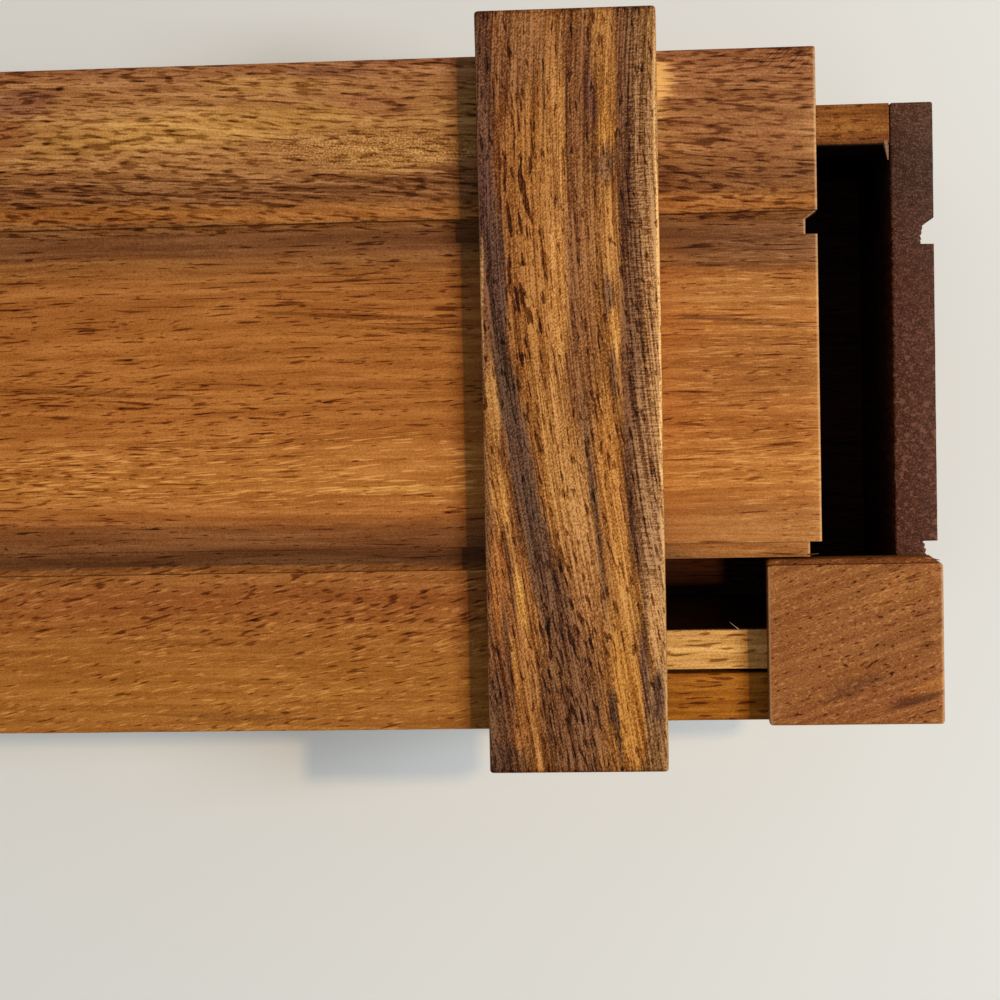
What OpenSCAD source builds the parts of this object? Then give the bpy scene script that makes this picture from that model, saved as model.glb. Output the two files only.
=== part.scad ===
// Wooden trinket box: a plank lid slides along the box on hidden runners and closes against a corner block.
// X runs along the box, Y across it and Z up. The origin is the middle of the underside.

/* [Box] */
// Length over the two end panels
box_l = 165; // [140:1:220]
// Width over the two side walls
box_w = 76; // [72:1:110]
// Height of the wall tops above the table
box_h = 60; // [45:1:90]
// Thickness of the side walls
side_t = 5.6; // [5:0.1:8]
// Thickness of the end panels
end_t = 5.8; // [5.5:0.1:9]
// Thickness of the bottom board
bottom_t = 6; // [4:0.1:9]
// How far the bottom board is let into the walls
let_in = 2.5; // [1.5:0.1:3]

/* [Lid] */
// Thickness of the lid planks
lid_t = 6.3; // [5.5:0.1:9]
// Width of the centre plank between its two grooves
centre_w = 40.7; // [30:0.1:50]
// How far the lid is drawn open in the modelled position
open_x = 15.9; // [0:0.1:40]
// Running gap between the lid and the wall tops
lid_gap = 0.2; // [0.1:0.05:0.5]

/* [Grooves] */
// Width of the grooves on the lid and the end panels
groove_w = 3.15; // [2.5:0.05:5]
// Depth of the grooves
groove_d = 1.5; // [0.8:0.1:2]
// How far the outer planks reach into the floor of a groove
outer_ledge = 1.05; // [0.6:0.05:1.6]

/* [Crossbars] */
// Width of a crossbar along the box
bar_w = 23.6; // [22:0.1:28]
// Thickness of a crossbar
bar_t = 6.2; // [5:0.1:9]
// How far a crossbar reaches past the lid on each side
bar_over = 5; // [2:0.1:8]
// How far the right crossbar laps over the corner block when the lid is shut
bar_lap = 2.4; // [1:0.1:4]

/* [Corner block] */
// Length of the corner block along the box
block_l = 23.2; // [22.5:0.1:25]
// Gap between the corner block and the lid around it
block_gap = 0.3; // [0.2:0.05:0.5]

/* [Skirt rails and runners] */
// Thickness of the skirt rails
rail_t = 6.5; // [5:0.1:9]
// Height of the skirt rails
rail_h = 14; // [11:0.5:20]
// Gap between a skirt rail and the side wall
rail_gap = 0.5; // [0.3:0.05:0.8]
// Height of the runners
runner_h = 4; // [3:0.1:5]
// How far a runner reaches into the side wall
runner_reach = 2.3; // [1.5:0.1:2.5]
// How far a runner is let into its skirt rail
runner_seat = 2.5; // [1.5:0.1:3]
// Running gap round a runner in its groove
runner_gap = 0.3; // [0.2:0.05:0.5]

/* [Dowels] */
// Diameter of the dowels in the corners and the block
small_d = 3; // [2:0.1:3.4]
// Diameter of the dowels in the crossbars
bar_d = 4; // [3:0.1:6]
// Length of a dowel in the piece that stands across it
dowel_cross = 4; // [2:0.1:4.4]
// Length of a dowel along the grain of the wall that it enters
dowel_long = 9; // [6:0.5:10]
// Distance of a dowel from the bottom board, the runner groove or the block's far face
dowel_inset = 5; // [4:0.5:8]
// Glue gap round a dowel
glue_gap = 0.05; // [0.03:0.01:0.1]

/* [Edges] */
// Rounding of the crossbar and corner block edges
soft_r = 0.6; // [0.3:0.1:1]
// Rounding of the other outer edges
edge_r = 0.4; // [0.2:0.1:0.6]

/* [Hidden] */
$fn = 48;
// How far a cut runs past the face that it opens
past = 1;
// Half sizes of the box, and the length of the side walls between the end panels
half_l = box_l / 2;
half_w = box_w / 2;
wall_l = box_l - 2 * end_t;
// Middle of a side wall's thickness
wall_mid = half_w - side_t / 2;
// The skirt rails bring the lid out past the walls
rail_in = half_w + rail_gap;
lid_half = rail_in + rail_t;
lid_z = box_h + lid_gap;
lid_top = lid_z + lid_t;
// The planks meet in the floor of each groove
groove_in = centre_w / 2;
groove_out = groove_in + groove_w;
seam = groove_out - outer_ledge;
// The near plank stops short of the corner block
near_cut = block_l + block_gap;
bar_l = 2 * (lid_half + bar_over);
bar_x = half_l - block_l + bar_lap - bar_w / 2;
// The corner block carries on the near plank, clear of the centre plank and of the crossbar over it
block_w = lid_half - seam - block_gap;
block_t = lid_top - block_gap - box_h;
// Runners and the grooves that they slide in
runner_z = lid_z - rail_h / 2;
runner_out = rail_in + runner_seat;
runner_in = half_w - runner_reach;
runner_r_end = half_l - end_t - rail_gap;
runner_l_end = -half_l + rail_gap;
slot_in = runner_in - runner_gap;
slot_h = runner_h + 2 * runner_gap;
// Heights of the corner dowels, and where the dowels of the block and the crossbars stand
corner_z = [bottom_t + dowel_inset, runner_z - slot_h / 2 - dowel_inset];
block_peg_y = [-wall_mid, -(groove_out + dowel_inset)];
bar_dowel_y = [-(groove_out + lid_half) / 2, -groove_in / 2, groove_in / 2, (groove_out + lid_half) / 2];

// Corner waste of radius r, left outside a quarter round whose square corner is at the origin
module corner_waste(r) {
    difference() {
        translate([-past, -past]) square(r + past);
        translate([r, r]) circle(r);
    }
}

// Rectangle from the origin with rounded corners: radii at low-low, high-low, high-high and low-high
module rounded_rect(w, h, radii) {
    difference() {
        square([w, h]);
        if (radii[0] > 0) corner_waste(radii[0]);
        if (radii[1] > 0) translate([w, 0]) rotate(90) corner_waste(radii[1]);
        if (radii[2] > 0) translate([w, h]) rotate(180) corner_waste(radii[2]);
        if (radii[3] > 0) translate([0, h]) rotate(270) corner_waste(radii[3]);
    }
}

// Profile drawn in Y and Z, drawn out along X
module along_x(l) {
    rotate([90, 0, 90]) linear_extrude(l) children();
}

// Profile drawn in X and Z, drawn out along Y
module along_y(l) {
    translate([0, l, 0]) rotate([90, 0, 0]) linear_extrude(l) children();
}

// Board from the origin with every edge rounded
module soft_board(l, w, t, r) {
    all = [r, r, r, r];
    intersection() {
        linear_extrude(t) rounded_rect(l, w, all);
        along_y(w) rounded_rect(l, t, all);
        along_x(l) rounded_rect(w, t, all);
    }
}

// The lid stands drawn open along the box
module at_lid() {
    translate([-open_x, 0, 0]) children();
}

// Section of a groove, across and up from the face, with a bevel on its outer side or square
module groove_profile(bevel = 0) {
    polygon([
        [groove_in, past],
        [groove_in, -groove_d],
        [groove_out - bevel, -groove_d],
        [groove_out, 0],
        [groove_out, past],
    ]);
}

// Waste of the groove that runs along the far side of a top face at height z
module top_groove(z) {
    translate([-half_l - past, 0, z]) along_x(box_l + 2 * past) groove_profile();
}

// Waste of the bevelled groove that runs up the near side of the right end
module end_groove() {
    translate([half_l, 0, -past])
        linear_extrude(lid_top + 2 * past) rotate(-90) groove_profile(outer_ledge);
}

// Waste of both grooves on the lid, with their turns down its two ends
module lid_grooves() {
    for (s = [0, 1])
        mirror([0, s, 0]) {
            top_groove(lid_top);
            end_groove();
            mirror([1, 0, 0]) end_groove();
        }
}

// Dowel, or with a glue gap the hole for it, standing on the origin
module peg(d, l, gap = 0) {
    cylinder(d = d + 2 * gap, h = l);
}

// Corner dowels of one end, each across the face between the end panel and a side wall
module corner_pegs(gap = 0) {
    for (z = corner_z)
        for (y = [-wall_mid, wall_mid])
            translate([half_l - end_t - dowel_long, y, z])
                rotate([0, 90, 0]) peg(small_d, dowel_long + dowel_cross, gap);
}

// Dowels of the corner block, standing in the top of the right end panel
module block_pegs(gap = 0) {
    for (y = block_peg_y)
        translate([half_l - end_t / 2, y, box_h - dowel_long])
            peg(small_d, dowel_long + dowel_cross, gap);
}

// Dowels of both crossbars, half in the planks and half in the bar
module bar_pegs(gap = 0) {
    for (x = [-bar_x, bar_x])
        for (y = bar_dowel_y)
            translate([x, y, lid_top - dowel_cross]) peg(bar_d, 2 * dowel_cross, gap);
}

// Side wall on the far side: grooved outside for the runner, rabbeted below for the bottom board
module side_wall() {
    difference() {
        translate([-wall_l / 2, half_w - side_t, 0])
            along_x(wall_l) rounded_rect(side_t, box_h, [0, edge_r, edge_r, edge_r]);
        translate([-wall_l / 2 - past, slot_in, runner_z - slot_h / 2])
            cube([wall_l + 2 * past, half_w, slot_h]);
        translate([-wall_l / 2 - past, half_w - side_t - past, -past])
            cube([wall_l + 2 * past, let_in + past, bottom_t + past]);
        corner_pegs(glue_gap);
        mirror([1, 0, 0]) corner_pegs(glue_gap);
    }
}

// End panel on the right: upright grooves outside, a rabbet below for the bottom board
module end_panel() {
    difference() {
        intersection() {
            translate([half_l - end_t, -half_w, 0])
                linear_extrude(box_h) rounded_rect(end_t, box_w, [0, edge_r, edge_r, 0]);
            translate([half_l - end_t, -half_w, 0])
                along_y(box_w) rounded_rect(end_t, box_h, [0, edge_r, edge_r, edge_r]);
        }
        for (s = [0, 1])
            mirror([0, s, 0]) end_groove();
        translate([half_l - end_t - past, -(half_w - side_t + let_in), -past])
            cube([let_in + past, 2 * (half_w - side_t + let_in), bottom_t + past]);
        corner_pegs(glue_gap);
    }
}

// Outer plank on the far side, with its ledge in the groove and both ends of it bevelled
module outer_plank() {
    difference() {
        translate([-half_l, seam, lid_z]) soft_board(box_l, lid_half - seam, lid_t, edge_r);
        lid_grooves();
    }
}

// Skirt rail on the far side, flush with the lid's edge and slotted inside for its runner
module skirt_rail() {
    at_lid() difference() {
        translate([-half_l, rail_in, lid_z - rail_h])
            intersection() {
                along_x(box_l) rounded_rect(rail_t, rail_h, [edge_r, edge_r, 0, edge_r]);
                along_y(rail_t) rounded_rect(box_l, rail_h, [edge_r, edge_r, 0, 0]);
            }
        translate([runner_l_end, rail_in - past, runner_z - runner_h / 2])
            cube([runner_r_end - runner_l_end, runner_seat + past, runner_h]);
    }
}

// Runner on the far side, a tongue from the skirt rail into the wall's groove
module runner() {
    at_lid() translate([runner_l_end, runner_in, runner_z - runner_h / 2])
        cube([runner_r_end - runner_l_end, runner_out - runner_in, runner_h]);
}

// Crossbar over the right end of the lid
module crossbar() {
    difference() {
        translate([bar_x - bar_w / 2, -bar_l / 2, lid_top]) soft_board(bar_w, bar_l, bar_t, soft_r);
        bar_pegs(glue_gap);
    }
}

module bottom_board() {
    color("#5b3a22")
        translate([-wall_l / 2 - let_in, -(half_w - side_t + let_in), 0])
            cube([wall_l + 2 * let_in, 2 * (half_w - side_t + let_in), bottom_t]);
}

module near_side_wall() {
    color("#cda46a") mirror([0, 1, 0]) side_wall();
}

module far_side_wall() {
    color("#b9854f") side_wall();
}

module right_end_panel() {
    color("#6a4227") difference() {
        end_panel();
        block_pegs(glue_gap);
    }
}

module left_end_panel() {
    // Notched at both edges where the runners draw out
    color("#6a4227") difference() {
        mirror([1, 0, 0]) end_panel();
        for (s = [0, 1])
            mirror([0, s, 0])
                translate([-half_l - past, slot_in, runner_z - slot_h / 2])
                    cube([end_t + 2 * past, half_w, slot_h]);
    }
}

module corner_dowels() {
    color("#d8b98a") {
        corner_pegs();
        mirror([1, 0, 0]) corner_pegs();
    }
}

module corner_block() {
    // Grooved like the near plank, and relieved below so that the skirt rail passes under it
    color("#8a4e2c") difference() {
        translate([half_l - block_l, -lid_half, box_h]) soft_board(block_l, block_w, block_t, soft_r);
        translate([half_l - block_l - past, -lid_half - past, box_h - past])
            cube([block_l + 2 * past, rail_t + rail_gap + past, lid_gap + block_gap + past]);
        mirror([0, 1, 0]) top_groove(box_h + block_t);
        end_groove();
        block_pegs(glue_gap);
    }
}

module block_dowels() {
    color("#d8b98a") block_pegs();
}

module far_lid_plank() {
    color("#b07a3e") at_lid() difference() {
        outer_plank();
        bar_pegs(glue_gap);
    }
}

module centre_lid_plank() {
    // A ledge along both edges makes the floor of the grooves
    color("#b06f36") at_lid() difference() {
        translate([-half_l, -seam, lid_z]) soft_board(box_l, 2 * seam, lid_t, edge_r);
        lid_grooves();
        bar_pegs(glue_gap);
    }
}

module near_lid_plank() {
    // Cut short at the right, where the corner block stands
    color("#b3743a") at_lid() difference() {
        mirror([0, 1, 0]) outer_plank();
        translate([half_l - near_cut, -lid_half - past, lid_z - past])
            cube([near_cut + past, lid_half + past, lid_t + 2 * past]);
        bar_pegs(glue_gap);
    }
}

module right_crossbar() {
    color("#7d5130") at_lid() crossbar();
}

module left_crossbar() {
    color("#7d5130") at_lid() mirror([1, 0, 0]) crossbar();
}

module crossbar_dowels() {
    color("#d8b98a") at_lid() bar_pegs();
}

module near_skirt_rail() {
    color("#8b5a33") mirror([0, 1, 0]) skirt_rail();
}

module far_skirt_rail() {
    color("#8b5a33") skirt_rail();
}

module near_runner() {
    color("#c79a62") mirror([0, 1, 0]) runner();
}

module far_runner() {
    color("#c79a62") runner();
}

bottom_board();
near_side_wall();
far_side_wall();
right_end_panel();
left_end_panel();
corner_dowels();
corner_block();
block_dowels();
far_lid_plank();
centre_lid_plank();
near_lid_plank();
right_crossbar();
left_crossbar();
crossbar_dowels();
near_skirt_rail();
far_skirt_rail();
near_runner();
far_runner();
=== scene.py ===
"""Wooden trinket box: hand-worn boards in oiled hardwood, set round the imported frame.

Lengths in this script are millimetres until a mesh, lamp or camera is made, and metres after that.
X runs along the box, Y across it towards the far side, and Z up from the table.
"""
import math

import bpy
import numpy as np
from mathutils import Euler, Matrix, Vector


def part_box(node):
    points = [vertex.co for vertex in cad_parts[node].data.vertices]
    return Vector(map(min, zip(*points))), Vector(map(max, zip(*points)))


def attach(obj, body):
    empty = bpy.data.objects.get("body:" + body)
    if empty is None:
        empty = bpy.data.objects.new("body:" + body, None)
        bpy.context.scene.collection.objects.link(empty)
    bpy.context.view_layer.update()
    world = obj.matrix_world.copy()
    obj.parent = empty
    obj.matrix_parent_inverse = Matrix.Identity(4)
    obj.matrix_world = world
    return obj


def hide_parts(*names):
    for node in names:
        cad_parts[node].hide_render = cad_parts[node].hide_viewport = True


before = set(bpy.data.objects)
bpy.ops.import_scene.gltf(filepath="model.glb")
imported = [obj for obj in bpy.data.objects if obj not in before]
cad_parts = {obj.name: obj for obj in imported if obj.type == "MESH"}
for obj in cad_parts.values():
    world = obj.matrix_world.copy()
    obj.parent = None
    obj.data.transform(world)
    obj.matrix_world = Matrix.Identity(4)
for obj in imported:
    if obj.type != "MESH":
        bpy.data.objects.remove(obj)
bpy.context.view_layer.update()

MM = 0.001

# Sizes of the grooves that run along the lid, round its ends and down the end panels
GROOVE_IN = 20.35
GROOVE_OUT = 23.5
GROOVE_DEEP = 1.5
OUTER_LEDGE = 1.05
# Rounding of the arrises: handled pieces are softer than the rest
SOFT_ARRIS = 0.6
EDGE_ARRIS = 0.4
SAWN_ARRIS = 0.15
# Width of the one row of faces that makes an upright step in a face
STEP = 0.03
# Spacing of the rows and stations that carry a board's surface
ROW = 1.2
STATION = 1.6
ARC_ROWS = 5
# How far in from an arris its painted highlight or painted shade reaches
PAINTED_LINE_WIDE = 0.8
# Rounding of an arris along the board: its least share, what varies on top of it, and the wave of that
LEAST_ROUND = 0.55
ROUND_VARIES = 0.45
ROUND_WAVE = 9.0
ROUND_ACROSS = 0.1
# Hollows of a planed face, longer along the board than across it and shallower underneath
PLANED_DEEP = 0.06
PLANED_WAVE = 7.0
PLANED_ALONG = 0.35
PLANED_UNDER = 0.3
# How far a long edge wavers, and in what wave
EDGE_WAVER = 0.04
EDGE_WAVE = 11.0
# Plane waves in one uneven surface, and the spread of their lengths
WAVES = 8
WAVE_SPREAD = (0.6, 1.6)
# Corners sharper than this stay crisp
SHARP_CORNER = math.radians(38)
# Two rows closer than this are one, and an even row this near a step is left out
SAME_ROW = 1e-4
STEP_CLEAR = 0.2
# Least length of board that a square end's rows are crowded into
LEAST_END = 0.05


def node_mm(name):
    """Lowest and highest corner of a CAD node, in millimetres."""
    low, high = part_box(name)
    return np.array(low) / MM, np.array(high) / MM


def ripple(a, b, seed, wave):
    """Smooth uneven surface from 0 to 1: the mean of plane waves with seeded directions and phases."""
    draw = np.random.default_rng(seed)
    turn = draw.uniform(0, 2 * np.pi, WAVES)
    phase = draw.uniform(0, 2 * np.pi, WAVES)
    pace = 2 * np.pi / (wave * draw.uniform(*WAVE_SPREAD, WAVES))
    waves = np.sin(
        a[..., None] * (pace * np.cos(turn)) + b[..., None] * (pace * np.sin(turn)) + phase
    )
    return 0.5 + 0.5 * waves.mean(-1)


def quarter_round(depth, radius):
    """Drop of a quarter round of that radius at a depth from the edge: r - sqrt(r^2 - (r - depth)^2)."""
    inside = np.clip(radius - depth, 0, radius)
    return radius - np.sqrt(np.maximum(radius ** 2 - inside ** 2, 0))


def rows_between(low, high, breaks, radius, spacing):
    """Places along a board: even spacing, arcs' worth of rows at both edges, and a pair at each break."""
    arc = radius * (1 - np.cos(np.linspace(0, np.pi / 2, ARC_ROWS + 1)))
    even = np.linspace(low + radius, high - radius, max(3, int((high - low) / spacing)))
    pairs = np.array([[b - STEP / 2, b + STEP / 2] for b in breaks]).ravel()
    if pairs.size:
        even = even[np.abs(even[:, None] - pairs[None, :]).min(1) > STEP_CLEAR]
    rows = np.sort(np.concatenate([low + arc, high - arc, even, pairs]))
    return rows[np.concatenate([[True], np.diff(rows) > SAME_ROW])]


def add_piece(name, points, faces, body, node=None, painted_light=None):
    """Mesh object from millimetre points, shaded smooth with its true corners kept sharp.

    The per-point values are a painted highlight up to 1, or painted shade below 0, for its finish.
    """
    mesh = bpy.data.meshes.new(name)
    mesh.from_pydata(points * MM, [], faces)
    mesh.polygons.foreach_set("use_smooth", np.ones(len(mesh.polygons), bool))
    mesh.set_sharp_from_angle(angle=SHARP_CORNER)
    mesh.update()
    if painted_light is not None:
        mesh.attributes.new("painted_light", "FLOAT", "POINT").data.foreach_set("value", painted_light.astype(np.float32))
    piece = bpy.data.objects.new(name, mesh)
    bpy.context.scene.collection.objects.link(piece)
    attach(piece, body)
    if node:
        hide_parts(node)
    return piece


def board(node, axes, body, seed, arris=EDGE_ARRIS, ends=None, breaks=(), stops=(), fine=(),
          top=None, under=None, cut=None, glued=(), painted_end_light=1.0, painted_edge_light=0.4, painted_recess_shade=0.0):
    """A worn board in place of a CAD node, as two faces over one grid of stations and rows.

    axes names the board's length, breadth and thickness axes. At each station along its length and row
    across its breadth the upper face is the node's top less a recess, less a quarter round at every edge,
    less a shallow ripple, and the lower face is the same from below. Near its ends the breadth draws in
    by the same quarter round. cut gives how far each row stops short at the low and high end, and glued
    names the long edges, low or high, that stay square where the board is glued to its neighbour.
    fine adds rows where a face is ragged. The end and edge amounts give a painted highlight along the
    arrises, or painted shade below 0, and the recess amount gives painted shade in the upper face's
    recesses.
    """
    low, high = node_mm(node)
    along, across, thick = ("XYZ".index(letter) for letter in axes)
    ends = arris if ends is None else ends
    s = rows_between(low[along], high[along], stops, max(ends, LEAST_END), STATION)
    q = np.unique(np.concatenate([rows_between(low[across], high[across], breaks, arris, ROW), fine]))
    grid_s, grid_q = np.meshgrid(s, q, indexing="ij")
    zero = np.zeros_like(grid_s)
    recess_top = top(grid_s, grid_q) if top else zero
    recess_under = under(grid_s, grid_q) if under else zero

    softness = LEAST_ROUND + ROUND_VARIES * ripple(grid_s, grid_q * ROUND_ACROSS, seed, ROUND_WAVE)
    end_depth = np.minimum(grid_s - low[along], high[along] - grid_s)
    from_low = np.where("low" in glued, np.inf, grid_q - low[across])
    from_high = np.where("high" in glued, np.inf, high[across] - grid_q)
    side_depth = np.minimum(from_low, from_high)
    round_off = quarter_round(side_depth, arris * softness) + quarter_round(end_depth, ends * softness)
    planed = PLANED_DEEP * ripple(grid_s * PLANED_ALONG, grid_q, seed + 1, PLANED_WAVE)

    upper = high[thick] - recess_top - round_off - planed
    lower = low[thick] + recess_under + round_off + PLANED_UNDER * planed
    middle = (low[across] + high[across]) / 2
    half = (high[across] - low[across]) / 2
    waver = EDGE_WAVER * ripple(grid_s, grid_q * 0, seed + 2, EDGE_WAVE)
    drawn_in = quarter_round(end_depth, ends * softness) + waver
    square = (grid_q > middle) & ("high" in glued) | (grid_q < middle) & ("low" in glued)
    drawn_in = np.where(square, 0, drawn_in)
    breadth = middle + (grid_q - middle) * (1 - drawn_in / half)

    cut_low, cut_high = cut(grid_q) if cut else (zero, zero)
    t = (grid_s - low[along]) / (high[along] - low[along])
    length = low[along] + cut_low + t * (high[along] - low[along] - cut_low - cut_high)

    k, n = grid_s.shape
    points = np.zeros((2, k, n, 3))
    points[..., along] = length
    points[..., across] = breadth
    points[0, ..., thick] = lower
    points[1, ..., thick] = upper

    index = np.arange(2 * k * n).reshape(2, k, n)
    ring = np.concatenate([index[0], index[1][:, ::-1]], axis=1)
    nxt = np.roll(ring, -1, axis=1)
    skin = np.stack([ring[:-1], nxt[:-1], nxt[1:], ring[1:]], -1).reshape(-1, 4)
    first, last = index[:, 0], index[:, -1]
    cap_low = np.stack([first[0, :-1], first[1, :-1], first[1, 1:], first[0, 1:]], -1)
    cap_high = np.stack([last[0, :-1], last[0, 1:], last[1, 1:], last[1, :-1]], -1)
    faces = np.concatenate([skin, cap_low, cap_high])
    if axes not in ("XYZ", "YZX", "ZXY"):
        faces = faces[:, ::-1]
    # Painted highlight along the ends and long arrises, painted shade where their amounts are below 0, and
    # painted shade in the upper face's recesses
    near_end = np.clip(1 - end_depth / PAINTED_LINE_WIDE, 0, 1)
    near_side = np.clip(1 - side_depth / PAINTED_LINE_WIDE, 0, 1)
    painted_light = painted_end_light * near_end + painted_edge_light * near_side * (1 - near_end)
    painted_light = np.stack([painted_light, painted_light - painted_recess_shade * (recess_top > 0)])
    return add_piece(node.replace("_", "-") + "-worn", points.reshape(-1, 3), faces.tolist(),
                     body, node, painted_light.ravel())


# Rings and sides of a loose fibre, and how much of its width is gone at the tip
STRAND_RINGS = 9
STRAND_SIDES = 6
STRAND_TAPER = 0.8


def strand(name, path, thick, body):
    """A loose fibre or splinter that stands on its board by its root.

    Rings are swept along the curve (1-t)^2 root + 2t(1-t) bend + t^2 tip, and their radius falls to a
    fifth of its size at the tip. Both ends are closed by a fan of faces.
    """
    root, bend, tip = np.array(path, float)
    t = np.linspace(0, 1, STRAND_RINGS)[:, None]
    line = (1 - t) ** 2 * root + 2 * t * (1 - t) * bend + t ** 2 * tip
    run = np.gradient(line, axis=0)
    run = run / np.linalg.norm(run, axis=1, keepdims=True)
    side = np.cross(run, (0.0, 0.0, 1.0))
    side = side / np.linalg.norm(side, axis=1, keepdims=True)
    rise = np.cross(side, run)
    turn = np.linspace(0, 2 * np.pi, STRAND_SIDES, endpoint=False)[None, :, None]
    ring = np.cos(turn) * side[:, None] + np.sin(turn) * rise[:, None]
    rings = line[:, None] + ring * (thick / 2 * (1 - STRAND_TAPER * t))[:, None]
    index = np.arange(STRAND_RINGS * STRAND_SIDES).reshape(STRAND_RINGS, STRAND_SIDES)
    nxt = np.roll(index, -1, axis=1)
    skin = np.stack([index[:-1], index[1:], nxt[1:], nxt[:-1]], -1).reshape(-1, 4)
    root_point = np.full(STRAND_SIDES, index.size)
    tip_point = root_point + 1
    root_fan = np.stack([root_point, index[0], nxt[0]], -1)
    tip_fan = np.stack([tip_point, nxt[-1], index[-1]], -1)
    faces = skin.tolist() + root_fan.tolist() + tip_fan.tolist()
    points = np.concatenate([rings.reshape(-1, 3), [root, tip]])
    return add_piece(name, points, faces, body)


# Recesses and end cuts of each board
def in_lid_groove(s, q):
    """Depth of the top grooves: full between the centre plank's shoulder and the outer plank's."""
    return np.where((np.abs(q) > GROOVE_IN) & (np.abs(q) < GROOVE_OUT), GROOVE_DEEP, 0.0)


def slant_cut(q):
    """How far an outer plank's end stops short: a slant from nothing at the groove's edge to its depth."""
    return GROOVE_DEEP * np.clip((GROOVE_OUT - np.abs(q)) / OUTER_LEDGE, 0, 1)


def ledge_cut(q):
    """How far the centre plank's ledges stop short at both ends."""
    short = np.where(np.abs(q) > GROOVE_IN, GROOVE_DEEP, 0.0)
    return short, short


# The far plank's outer long arris carries a painted shade line
far_plank = board(
    "far_lid_plank", "XYZ", "lid", seed=11, breaks=[GROOVE_OUT], glued=["low"],
    top=in_lid_groove, cut=lambda q: (slant_cut(q), slant_cut(q)), painted_edge_light=-0.8,
)
near_plank = board(
    "near_lid_plank", "XYZ", "lid", seed=12, breaks=[-GROOVE_OUT], glued=["high"],
    top=in_lid_groove, cut=lambda q: (slant_cut(q), 0 * q),
)
centre_plank = board(
    "centre_lid_plank", "XYZ", "lid", seed=13, breaks=[-GROOVE_IN, GROOVE_IN],
    top=in_lid_groove, glued=["low", "high"], cut=ledge_cut,
)
# The crossbars' ends carry painted shade and their long edges a pale painted highlight
BAR_END_PAINTED_SHADE = -1.6
BAR_EDGE_PAINTED_HIGHLIGHT = 0.7
right_bar = board("right_crossbar", "YXZ", "lid", seed=14, arris=EDGE_ARRIS, ends=SOFT_ARRIS,
                  painted_end_light=BAR_END_PAINTED_SHADE, painted_edge_light=BAR_EDGE_PAINTED_HIGHLIGHT)
left_bar = board("left_crossbar", "YXZ", "lid", seed=15, arris=EDGE_ARRIS, ends=SOFT_ARRIS,
                 painted_end_light=BAR_END_PAINTED_SHADE, painted_edge_light=BAR_EDGE_PAINTED_HIGHLIGHT)

RAIL_UNDER_BLOCK = 0.5
side_face = node_mm("far_side_wall")[1][1]
# The block's recessed ledge is darkened with painted shade
block = board(
    "corner_block", "XYZ", "box", seed=16, arris=SOFT_ARRIS, ends=SOFT_ARRIS,
    breaks=[-GROOVE_OUT, -side_face], top=in_lid_groove,
    under=lambda s, q: np.where(q < -side_face, RAIL_UNDER_BLOCK, 0.0),
    cut=lambda q: (0 * q, slant_cut(q)), painted_recess_shade=1.3,
)

# The side walls are slotted outside for the runners and rabbeted inside for the bottom board
RUNNER_ROOM = 0.3
runner_low, runner_high = node_mm("far_runner")
slot_low = runner_low[2] - RUNNER_ROOM
slot_high = runner_high[2] + RUNNER_ROOM
slot_deep = side_face - runner_low[1] + RUNNER_ROOM
bottom_high = node_mm("bottom_board")[1]
bottom_top = bottom_high[2]
let_in = bottom_high[1] - node_mm("far_side_wall")[0][1]


def runner_slot(s, q):
    """Depth of the slot that a runner slides in."""
    return np.where((q > slot_low) & (q < slot_high), slot_deep, 0.0)


def bottom_rabbet(s, q):
    """Depth of the rabbet that the bottom board is let into."""
    return np.where(q < bottom_top, let_in, 0.0)


WALL_ARRIS = 0.25
wall_breaks = [bottom_top, slot_low, slot_high]
far_wall = board(
    "far_side_wall", "XZY", "box", seed=17, arris=WALL_ARRIS, ends=SAWN_ARRIS,
    breaks=wall_breaks, top=runner_slot, under=bottom_rabbet, painted_end_light=0.0,
)
near_wall = board(
    "near_side_wall", "XZY", "box", seed=18, arris=WALL_ARRIS, ends=SAWN_ARRIS,
    breaks=wall_breaks, top=bottom_rabbet, under=runner_slot, painted_end_light=0.0,
)

# The skirt rails are slotted inside for the runners
runner_seat = runner_high[1] - node_mm("far_skirt_rail")[0][1]


def runner_mortise(s, q):
    """Depth of the mortise that a runner is let into."""
    inside = (s > runner_low[0]) & (s < runner_high[0])
    return np.where(inside & (q > runner_low[2]) & (q < runner_high[2]), runner_seat, 0.0)


rail_breaks = [runner_low[2], runner_high[2]]
rail_stops = [runner_low[0], runner_high[0]]
far_rail = board(
    "far_skirt_rail", "XZY", "lid", seed=19, breaks=rail_breaks, stops=rail_stops,
    under=runner_mortise,
)
near_rail = board(
    "near_skirt_rail", "XZY", "lid", seed=20, breaks=rail_breaks, stops=rail_stops,
    top=runner_mortise,
)


# The right end panel has the grooves' upright runs outside and the bottom board's rabbet inside
# Its grooves were sawn a little wider and nearer than the lid's
PANEL_NEARER = 0.95
PANEL_IN = 20.0
PANEL_OUT = 23.5
panel_floor = PANEL_OUT - OUTER_LEDGE
# Torn floor of those grooves: its slope, how rough it is, and the wave and rows that carry it
TORN = 0.3
TORN_ROUGH = 1.1
TORN_WAVE = 0.5
TORN_ROW = 0.14
TORN_SEED = 31
TORN_UPRIGHT = 0.02


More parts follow.
